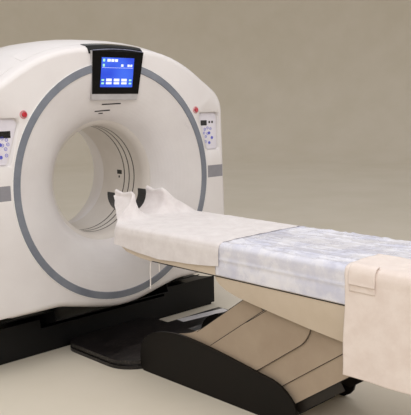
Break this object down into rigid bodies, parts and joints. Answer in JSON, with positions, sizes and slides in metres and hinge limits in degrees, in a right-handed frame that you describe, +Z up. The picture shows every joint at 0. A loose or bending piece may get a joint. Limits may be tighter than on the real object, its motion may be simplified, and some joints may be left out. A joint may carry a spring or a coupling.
{
  "type": "ct scanner",
  "caption": "Computed tomography scanner: a tilting ring gantry with a wide funnelled bore and a lifting patient table with a sliding cradle, draped in sheets.",
  "frame": {"origin": "on the floor straight under the isocentre, in the scan plane", "axes": "+Y into the gantry along the bore, away from the table; +Z up; +X to the right when facing the gantry from the table"},
  "size_m": [2.0008, 3.692, 1.9375],
  "materials": {
    "white_cover": "smooth satin paint on moulded plastic",
    "ring_grey": "satin grey plastic",
    "funnel_white": "smooth satin",
    "liner": "smooth satin",
    "base_black": "fine matt texture",
    "display_black": "glossy black",
    "screen": "lit blue screen",
    "panel_white": "smooth satin",
    "stripe_grey": "satin",
    "key_violet": "satin",
    "stop_red": "glossy",
    "frame_steel": "grey machinery paint",
    "column_steel": "dark machinery paint",
    "rotor_alu": "machined",
    "race_steel": "ground",
    "tube_metal": "light grey paint",
    "lead_box": "dark grey paint",
    "detector_dark": "matt",
    "generator_grey": "grey paint",
    "slip_brass": "turned tracks",
    "motor_grey": "dark grey paint",
    "belt_rubber": "matt",
    "base_steel": "dark paint",
    "skirt_dark": "dark brown satin plastic",
    "plate_dark": "glossy dark plastic",
    "leg_white": "light paint",
    "panel_tan": "satin warm grey",
    "panel_dark": "matt dark",
    "body_cream": "smooth satin",
    "carbon_dark": "satin dark laminate",
    "pad_grey": "smooth coated fabric",
    "sheet_white": "soft crumpled sheet",
    "towel_white": "soft towelling"
  },
  "bodies": {
    "base": {"gantry_base": "base_black", "left_column": "column_steel", "right_column": "column_steel", "floor_plate": "plate_dark", "table_base": "base_steel", "near_skirt": "skirt_dark", "far_skirt": "skirt_dark", "base_nose": "skirt_dark"},
    "tilting_gantry": {"tilt_frame": "frame_steel", "front_cover": "white_cover", "ring_trim": "ring_grey", "funnel_cover": "funnel_white", "bore_liner": "liner", "top_cover": "white_cover", "left_side_cover": "white_cover", "right_side_cover": "white_cover", "rear_cover": "white_cover", "rear_funnel": "funnel_white", "belly_cover": "base_black", "display_housing": "display_black", "display_screen": "screen", "display_cap": "display_black", "left_panel": "panel_white", "right_panel": "panel_white", "side_stripes": "stripe_grey", "bearing_outer_race": "race_steel", "drive_motor": "motor_grey", "drive_belt": "belt_rubber"},
    "rotor": {"rotor_disc": "rotor_alu", "bearing_inner_race": "race_steel", "xray_tube": "tube_metal", "collimator": "lead_box", "detector_arc": "detector_dark", "generator": "generator_grey", "heat_exchanger": "rotor_alu", "slip_ring": "slip_brass"},
    "pulley": {"motor_pulley": "rotor_alu"},
    "left_stop": {"left_stop_button": "stop_red"},
    "right_stop": {"right_stop_button": "stop_red"},
    "left_key_body_1": {"left_key_1": "key_violet"},
    "left_key_body_2": {"left_key_2": "key_violet"},
    "left_key_body_3": {"left_key_3": "key_violet"},
    "right_key_body_1": {"right_key_1": "key_violet"},
    "right_key_body_2": {"right_key_2": "key_violet"},
    "right_key_body_3": {"right_key_3": "key_violet"},
    "leg": {"lift_leg": "leg_white"},
    "link": {"guide_link": "leg_white"},
    "panel_1": {"side_panel_1": "panel_tan"},
    "panel_2": {"side_panel_2": "panel_tan"},
    "panel_3": {"side_panel_3": "panel_tan"},
    "panel_4": {"side_panel_4": "panel_tan"},
    "panel_5": {"side_panel_5": "panel_dark"},
    "tabletop": {"table_body": "body_cream", "hull_cover": "body_cream", "table_cover": "sheet_white", "foot_sheet": "sheet_white"},
    "cradle_body": {"cradle": "carbon_dark", "cradle_pad": "pad_grey", "head_holder": "carbon_dark", "head_sheet": "towel_white"}
  },
  "joints": [
    {"name": "gantry_tilt", "type": "hinge", "parent": "base", "child": "tilting_gantry", "pos_m": [0, 0, 1.045], "axis": [-1, 0, 0], "range_deg": [-30, 30]},
    {"name": "rotor_spin", "type": "hinge", "parent": "tilting_gantry", "child": "rotor", "pos_m": [0, 0.064, 1.045], "axis": [0, 1, 0], "continuous": true},
    {"name": "pulley_spin", "type": "hinge", "parent": "tilting_gantry", "child": "pulley", "pos_m": [0.69, 0.064, 0.485], "axis": [0, 1, 0], "continuous": true},
    {"name": "leg_lift", "type": "hinge", "parent": "base", "child": "leg", "pos_m": [0, -1.457, 0.13], "axis": [-1, 0, 0], "range_deg": [-28.4, 13]},
    {"name": "link_swing", "type": "hinge", "parent": "base", "child": "link", "pos_m": [0, -1.16, 0.13], "axis": [-1, 0, 0], "range_deg": [-28.4, 13]},
    {"name": "tabletop_level", "type": "hinge", "parent": "leg", "child": "tabletop", "pos_m": [0, -2.15157, 0.61997], "axis": [-1, 0, 0], "range_deg": [-13, 28.4]},
    {"name": "cradle_travel", "type": "slide", "parent": "tabletop", "child": "cradle_body", "axis": [0, 1, 0], "range_m": [0, 1.7], "deforming": ["head_sheet"]},
    {"name": "panel_swing_1", "type": "hinge", "parent": "base", "child": "panel_1", "pos_m": [0, -1.18, 0.13], "axis": [-1, 0, 0], "range_deg": [-28.4, 13]},
    {"name": "panel_swing_2", "type": "hinge", "parent": "base", "child": "panel_2", "pos_m": [0, -1.435, 0.13], "axis": [-1, 0, 0], "range_deg": [-28.4, 13]},
    {"name": "panel_swing_3", "type": "hinge", "parent": "base", "child": "panel_3", "pos_m": [0, -1.66, 0.13], "axis": [-1, 0, 0], "range_deg": [-28.4, 13]},
    {"name": "panel_swing_4", "type": "hinge", "parent": "base", "child": "panel_4", "pos_m": [0, -1.835, 0.13], "axis": [-1, 0, 0], "range_deg": [-28.4, 13]},
    {"name": "panel_swing_5", "type": "hinge", "parent": "base", "child": "panel_5", "pos_m": [0, -1.92, 0.13], "axis": [-1, 0, 0], "range_deg": [-28.4, 13]},
    {"name": "left_stop_press", "type": "slide", "parent": "tilting_gantry", "child": "left_stop", "axis": [0, 1, 0], "range_m": [0, 0.004], "stiffness_N_per_m": 3000},
    {"name": "left_key_press_1", "type": "slide", "parent": "tilting_gantry", "child": "left_key_body_1", "axis": [0, 1, 0], "range_m": [0, 0.002], "stiffness_N_per_m": 1200},
    {"name": "left_key_press_2", "type": "slide", "parent": "tilting_gantry", "child": "left_key_body_2", "axis": [0, 1, 0], "range_m": [0, 0.002], "stiffness_N_per_m": 1200},
    {"name": "left_key_press_3", "type": "slide", "parent": "tilting_gantry", "child": "left_key_body_3", "axis": [0, 1, 0], "range_m": [0, 0.002], "stiffness_N_per_m": 1200},
    {"name": "right_stop_press", "type": "slide", "parent": "tilting_gantry", "child": "right_stop", "axis": [0, 1, 0], "range_m": [0, 0.004], "stiffness_N_per_m": 3000},
    {"name": "right_key_press_1", "type": "slide", "parent": "tilting_gantry", "child": "right_key_body_1", "axis": [0, 1, 0], "range_m": [0, 0.002], "stiffness_N_per_m": 1200},
    {"name": "right_key_press_2", "type": "slide", "parent": "tilting_gantry", "child": "right_key_body_2", "axis": [0, 1, 0], "range_m": [0, 0.002], "stiffness_N_per_m": 1200},
    {"name": "right_key_press_3", "type": "slide", "parent": "tilting_gantry", "child": "right_key_body_3", "axis": [0, 1, 0], "range_m": [0, 0.002], "stiffness_N_per_m": 1200}
  ],
  "couplings": [
    {"joint": "pulley_spin", "follows": "rotor_spin", "ratio": 11.083},
    {"joint": "link_swing", "follows": "leg_lift", "ratio": 1},
    {"joint": "tabletop_level", "follows": "leg_lift", "ratio": -1},
    {"joint": "panel_swing_1", "follows": "leg_lift", "ratio": 1},
    {"joint": "panel_swing_2", "follows": "leg_lift", "ratio": 1},
    {"joint": "panel_swing_3", "follows": "leg_lift", "ratio": 1},
    {"joint": "panel_swing_4", "follows": "leg_lift", "ratio": 1},
    {"joint": "panel_swing_5", "follows": "leg_lift", "ratio": 1}
  ]
}
